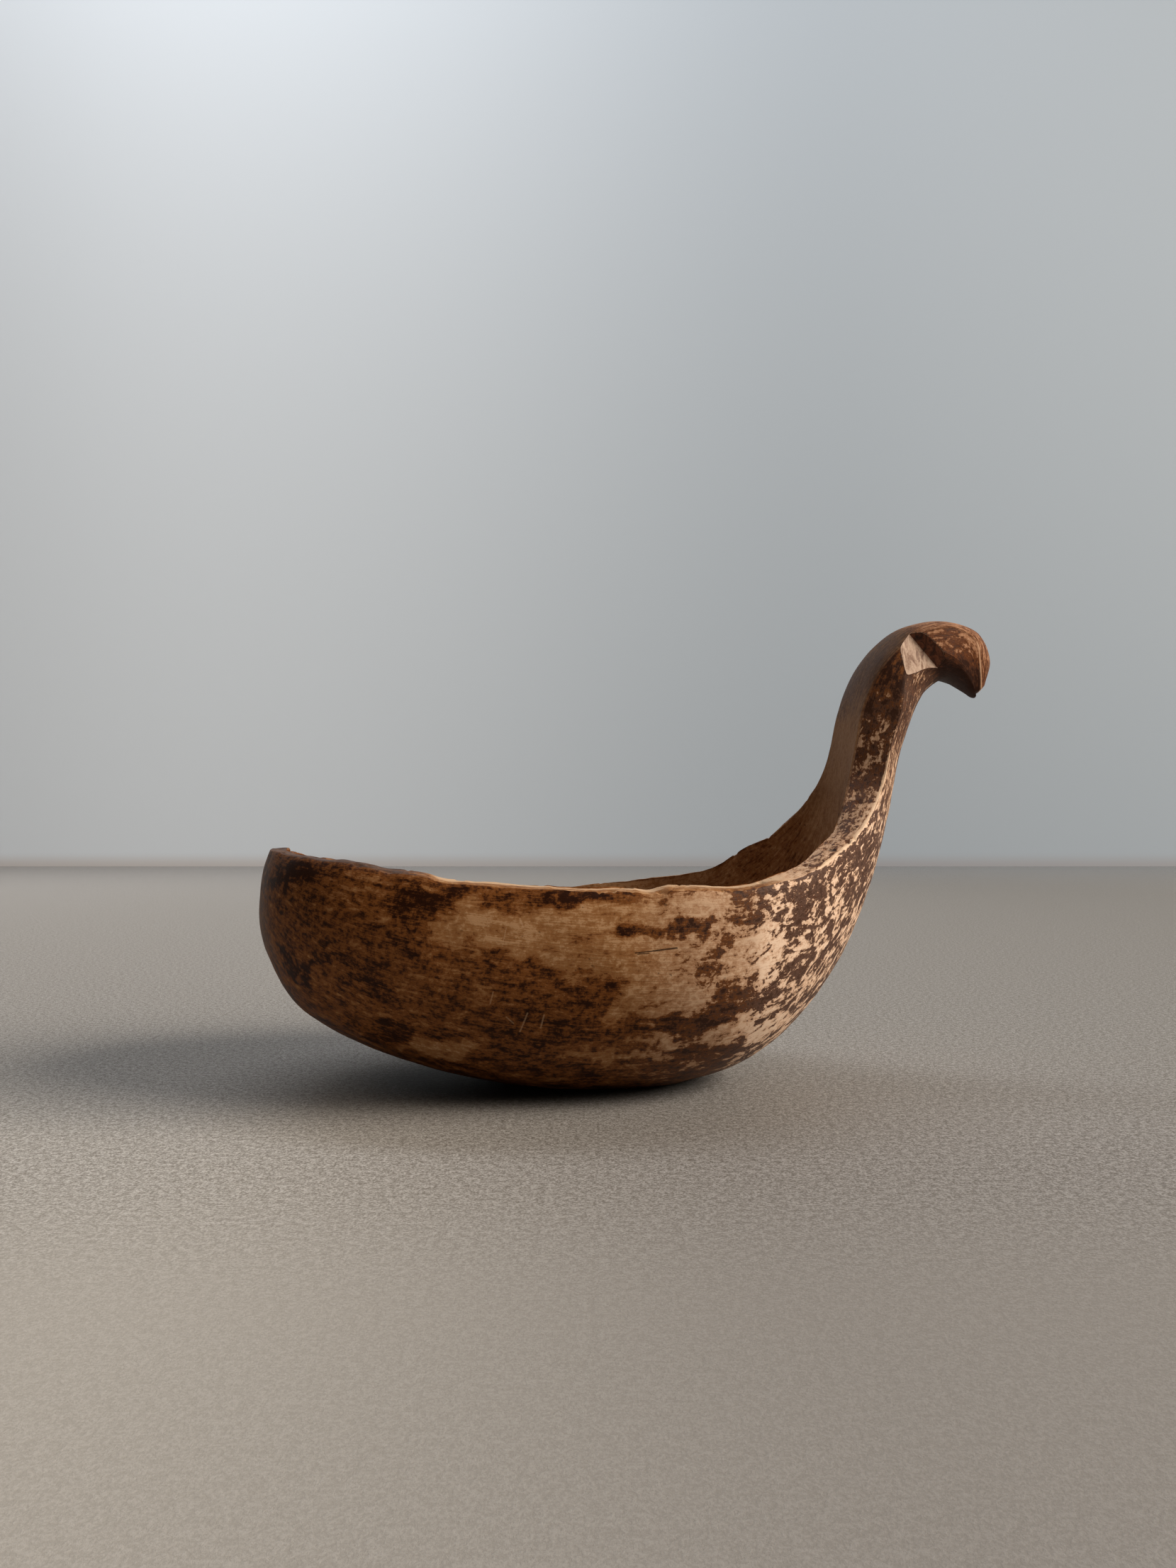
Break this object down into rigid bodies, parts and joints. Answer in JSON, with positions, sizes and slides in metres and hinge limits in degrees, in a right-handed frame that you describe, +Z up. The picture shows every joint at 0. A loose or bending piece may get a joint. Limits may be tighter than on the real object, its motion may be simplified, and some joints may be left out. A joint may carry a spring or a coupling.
{
  "type": "feed scoop",
  "caption": "Carved wooden feed scoop: a deep oval bowl whose end rises into a strap neck with a small hooked head.",
  "frame": {"origin": "middle of the small worn flat under the bowl, on which the scoop rests", "axes": "+X from the bowl's front tip to the hooked head, +Y to the far side, +Z up; Y = 0 is the middle plane"},
  "size_m": [0.219, 0.1296, 0.1362],
  "materials": {
    "wood": "worn dark patina over pale wood, waxed by handling"
  },
  "bodies": {
    "root": {"scoop": "wood"}
  },
  "joints": []
}
